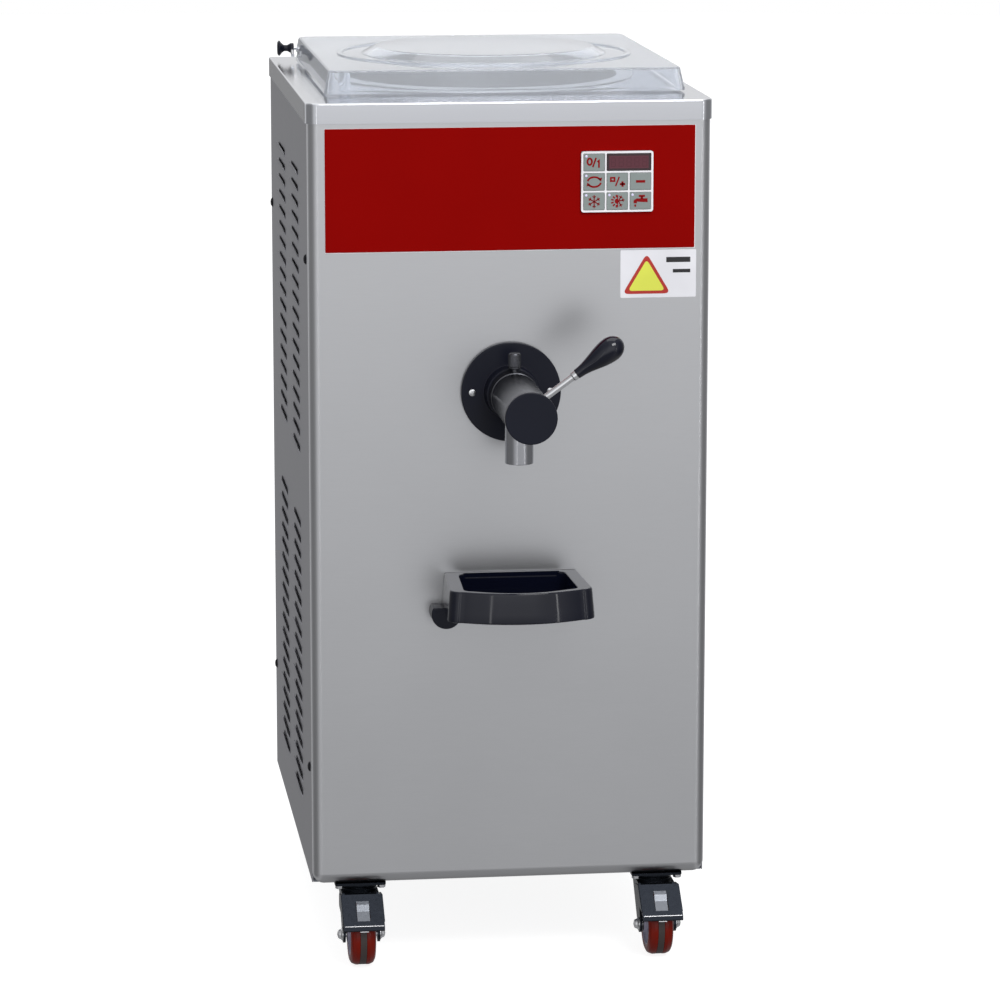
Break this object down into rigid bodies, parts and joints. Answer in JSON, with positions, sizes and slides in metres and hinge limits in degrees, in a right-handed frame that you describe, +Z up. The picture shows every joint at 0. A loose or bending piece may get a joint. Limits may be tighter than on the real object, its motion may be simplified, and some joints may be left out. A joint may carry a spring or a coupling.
{
  "type": "ice cream mix pasteuriser",
  "caption": "Floor-standing pasteuriser for ice cream mix: steel cabinet on casters with a lidded vat, lever tap, drip tray and keypad.",
  "frame": {"origin": "on the floor, under the middle of the bounding box", "axes": "+X to the right as seen from the front, +Y from the front to the back, +Z up"},
  "size_m": [0.484, 0.8134, 1.087],
  "materials": {
    "steel": "brushed, vertical grain",
    "bright": "turned and polished",
    "zinc": "zinc plated pressed steel",
    "black": "satin moulded",
    "gloss": "high gloss moulded",
    "red": "satin enamel",
    "white": "moulded",
    "key": "moulded",
    "display": "clear tinted window",
    "clear": "clear vacuum formed",
    "tyre": "cast polyurethane",
    "copper": "drawn copper pipe",
    "paint": "black enamel",
    "rubber": "matte",
    "foam": "foam insulation"
  },
  "bodies": {
    "cabinet": {"front_panel": "steel", "left_side_panel": "steel", "right_side_panel": "steel", "rear_panel": "steel", "top_deck": "steel", "vat": "bright", "flange_screw_left": "bright", "flange_screw_right": "bright", "tap_body": "bright", "lid_bracket": "bright", "base_plate": "zinc", "corner_post_front_left": "zinc", "corner_post_front_right": "zinc", "corner_post_rear_left": "zinc", "corner_post_rear_right": "zinc", "drive_plate": "zinc", "condenser": "zinc", "control_box": "zinc", "mains_gland": "black", "tap_flange": "black", "tap_end_cap": "black", "tray_rest": "black", "fascia_panel": "red", "keypad_bezel": "white", "display_window": "display", "cooling_coil": "copper", "drive_motor": "paint", "compressor": "paint", "fan_motor": "paint", "drive_belt": "rubber", "vat_jacket": "foam"},
    "lid": {"lid": "clear"},
    "lid_pin": {"lid_pin": "bright", "lid_knob": "black"},
    "agitator": {"agitator": "bright", "driven_pulley": "zinc"},
    "motor_rotor": {"motor_pulley": "zinc"},
    "fan": {"condenser_fan": "black"},
    "tap_lever": {"lever_rod": "bright", "lever_grip": "gloss"},
    "tap_piston": {"tap_piston": "white"},
    "lock_pin": {"lock_pin": "bright"},
    "drip_tray": {"drip_tray": "gloss"},
    "key_power": {"key_power": "key"},
    "key_cycle": {"key_cycle": "key"},
    "key_program": {"key_program": "key"},
    "key_minus": {"key_minus": "key"},
    "key_cool": {"key_cool": "key"},
    "key_heat_cool": {"key_heat_cool": "key"},
    "key_tap": {"key_tap": "key"},
    "caster_fork_front_left": {"caster_fork_front_left": "zinc"},
    "caster_wheel_front_left": {"caster_wheel_front_left": "tyre"},
    "caster_fork_front_right": {"caster_fork_front_right": "zinc"},
    "caster_wheel_front_right": {"caster_wheel_front_right": "tyre"},
    "caster_fork_rear_left": {"caster_fork_rear_left": "zinc"},
    "caster_wheel_rear_left": {"caster_wheel_rear_left": "tyre"},
    "caster_fork_rear_right": {"caster_fork_rear_right": "zinc"},
    "caster_wheel_rear_right": {"caster_wheel_rear_right": "tyre"},
    "brake_pedal_left": {"brake_pedal_left": "zinc"},
    "brake_pedal_right": {"brake_pedal_right": "zinc"}
  },
  "joints": [
    {"name": "lid_hinge", "type": "hinge", "parent": "cabinet", "child": "lid", "pos_m": [0, 0.33875, 1.064], "axis": [-1, 0, 0], "range_deg": [0, 95]},
    {"name": "lid_pin_pull", "type": "slide", "parent": "cabinet", "child": "lid_pin", "axis": [-1, 0, 0], "range_m": [0, 0.022]},
    {"name": "agitator_spin", "type": "hinge", "parent": "cabinet", "child": "agitator", "pos_m": [0, 0.09575, 0.7], "axis": [0, 0, 1], "continuous": true},
    {"name": "motor_spin", "type": "hinge", "parent": "cabinet", "child": "motor_rotor", "pos_m": [0.13, 0.09575, 0.622], "axis": [0, 0, 1], "continuous": true},
    {"name": "fan_spin", "type": "hinge", "parent": "cabinet", "child": "fan", "pos_m": [0, 0.26475, 0.265], "axis": [0, 1, 0], "continuous": true},
    {"name": "lever_turn", "type": "hinge", "parent": "cabinet", "child": "tap_lever", "pos_m": [0, -0.35825, 0.703], "axis": [0, 1, 0], "range_deg": [0, 90]},
    {"name": "piston_slide", "type": "slide", "parent": "cabinet", "child": "tap_piston", "axis": [0, -1, 0], "range_m": [0, 0.016]},
    {"name": "lock_pin_pull", "type": "slide", "parent": "cabinet", "child": "lock_pin", "axis": [0, 0, 1], "range_m": [0, 0.005], "stiffness_N_per_m": 400},
    {"name": "tray_lift", "type": "slide", "parent": "cabinet", "child": "drip_tray", "axis": [0, 0, 1], "range_m": [0, 0.03]},
    {"name": "key_power_press", "type": "slide", "parent": "cabinet", "child": "key_power", "axis": [0, 1, 0], "range_m": [0, 0.001], "stiffness_N_per_m": 400},
    {"name": "key_cycle_press", "type": "slide", "parent": "cabinet", "child": "key_cycle", "axis": [0, 1, 0], "range_m": [0, 0.001], "stiffness_N_per_m": 400},
    {"name": "key_program_press", "type": "slide", "parent": "cabinet", "child": "key_program", "axis": [0, 1, 0], "range_m": [0, 0.001], "stiffness_N_per_m": 400},
    {"name": "key_minus_press", "type": "slide", "parent": "cabinet", "child": "key_minus", "axis": [0, 1, 0], "range_m": [0, 0.001], "stiffness_N_per_m": 400},
    {"name": "key_cool_press", "type": "slide", "parent": "cabinet", "child": "key_cool", "axis": [0, 1, 0], "range_m": [0, 0.001], "stiffness_N_per_m": 400},
    {"name": "key_heat_cool_press", "type": "slide", "parent": "cabinet", "child": "key_heat_cool", "axis": [0, 1, 0], "range_m": [0, 0.001], "stiffness_N_per_m": 400},
    {"name": "key_tap_press", "type": "slide", "parent": "cabinet", "child": "key_tap", "axis": [0, 1, 0], "range_m": [0, 0.001], "stiffness_N_per_m": 400},
    {"name": "caster_swivel_front_left", "type": "hinge", "parent": "cabinet", "child": "caster_fork_front_left", "pos_m": [-0.182, -0.17825, 0.09], "axis": [0, 0, 1], "continuous": true},
    {"name": "wheel_spin_front_left", "type": "hinge", "parent": "caster_fork_front_left", "child": "caster_wheel_front_left", "pos_m": [-0.182, -0.21125, 0.0375], "axis": [1, 0, 0], "continuous": true},
    {"name": "caster_swivel_front_right", "type": "hinge", "parent": "cabinet", "child": "caster_fork_front_right", "pos_m": [0.182, -0.17825, 0.09], "axis": [0, 0, 1], "continuous": true},
    {"name": "wheel_spin_front_right", "type": "hinge", "parent": "caster_fork_front_right", "child": "caster_wheel_front_right", "pos_m": [0.182, -0.21125, 0.0375], "axis": [1, 0, 0], "continuous": true},
    {"name": "caster_swivel_rear_left", "type": "hinge", "parent": "cabinet", "child": "caster_fork_rear_left", "pos_m": [-0.182, 0.34675, 0.09], "axis": [0, 0, 1], "continuous": true},
    {"name": "wheel_spin_rear_left", "type": "hinge", "parent": "caster_fork_rear_left", "child": "caster_wheel_rear_left", "pos_m": [-0.182, 0.31375, 0.0375], "axis": [1, 0, 0], "continuous": true},
    {"name": "caster_swivel_rear_right", "type": "hinge", "parent": "cabinet", "child": "caster_fork_rear_right", "pos_m": [0.182, 0.34675, 0.09], "axis": [0, 0, 1], "continuous": true},
    {"name": "wheel_spin_rear_right", "type": "hinge", "parent": "caster_fork_rear_right", "child": "caster_wheel_rear_right", "pos_m": [0.182, 0.31375, 0.0375], "axis": [1, 0, 0], "continuous": true},
    {"name": "brake_press_left", "type": "hinge", "parent": "caster_fork_front_left", "child": "brake_pedal_left", "pos_m": [-0.182, -0.20125, 0.076], "axis": [1, 0, 0], "range_deg": [0, 8]},
    {"name": "brake_press_right", "type": "hinge", "parent": "caster_fork_front_right", "child": "brake_pedal_right", "pos_m": [0.182, -0.20125, 0.076], "axis": [1, 0, 0], "range_deg": [0, 8]}
  ],
  "couplings": [
    {"joint": "motor_spin", "follows": "agitator_spin", "ratio": 3},
    {"joint": "piston_slide", "follows": "lever_turn", "m_per_rad": 0.0101}
  ]
}
